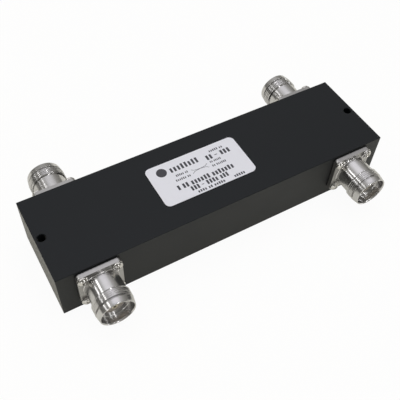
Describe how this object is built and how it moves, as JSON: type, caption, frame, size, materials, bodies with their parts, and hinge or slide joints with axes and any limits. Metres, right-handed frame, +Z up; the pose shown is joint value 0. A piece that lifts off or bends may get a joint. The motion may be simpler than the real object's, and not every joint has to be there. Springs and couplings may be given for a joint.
{
  "type": "hybrid coupler",
  "caption": "Long black milled box with a white label, holding crossed coupled lines, with a flanged coaxial socket near each end of each long side and a mounting hole at each end",
  "frame": {"origin": "middle of the underside", "axes": "+X along the length, +Y to the rear, +Z up through the labelled top face"},
  "size_m": [0.194, 0.0954, 0.0314],
  "materials": {
    "black_housing": "satin black coating on milled aluminium",
    "black_elastomer": "matte black",
    "black_screw": "blackened steel",
    "label_film": "white printed film",
    "laminate": "glass-filled laminate",
    "plated_line": "silver plated",
    "white_fluoropolymer": "turned white fluoropolymer",
    "tan_polymer": "moulded tan engineering polymer",
    "plated_brass": "bright white bronze plating",
    "plated_contact": "silver plated",
    "steel_screw": "bright stainless steel"
  },
  "bodies": {
    "root": {"housing": "black_housing", "bottom_cover": "black_housing", "cover_gasket": "black_elastomer", "cover_screws": "black_screw", "label": "label_film", "coupler_board": "laminate", "upper_line": "plated_line", "lower_line": "plated_line", "upper_posts": "white_fluoropolymer", "lower_posts": "white_fluoropolymer", "front_left_socket": "plated_brass", "front_right_socket": "plated_brass", "rear_left_socket": "plated_brass", "rear_right_socket": "plated_brass", "front_left_insulator": "tan_polymer", "front_right_insulator": "tan_polymer", "rear_left_insulator": "tan_polymer", "rear_right_insulator": "tan_polymer", "front_left_contact": "plated_contact", "front_right_contact": "plated_contact", "rear_left_contact": "plated_contact", "rear_right_contact": "plated_contact", "front_left_gasket": "black_elastomer", "front_right_gasket": "black_elastomer", "rear_left_gasket": "black_elastomer", "rear_right_gasket": "black_elastomer", "front_left_screws": "steel_screw", "front_right_screws": "steel_screw", "rear_left_screws": "steel_screw", "rear_right_screws": "steel_screw"}
  },
  "joints": []
}
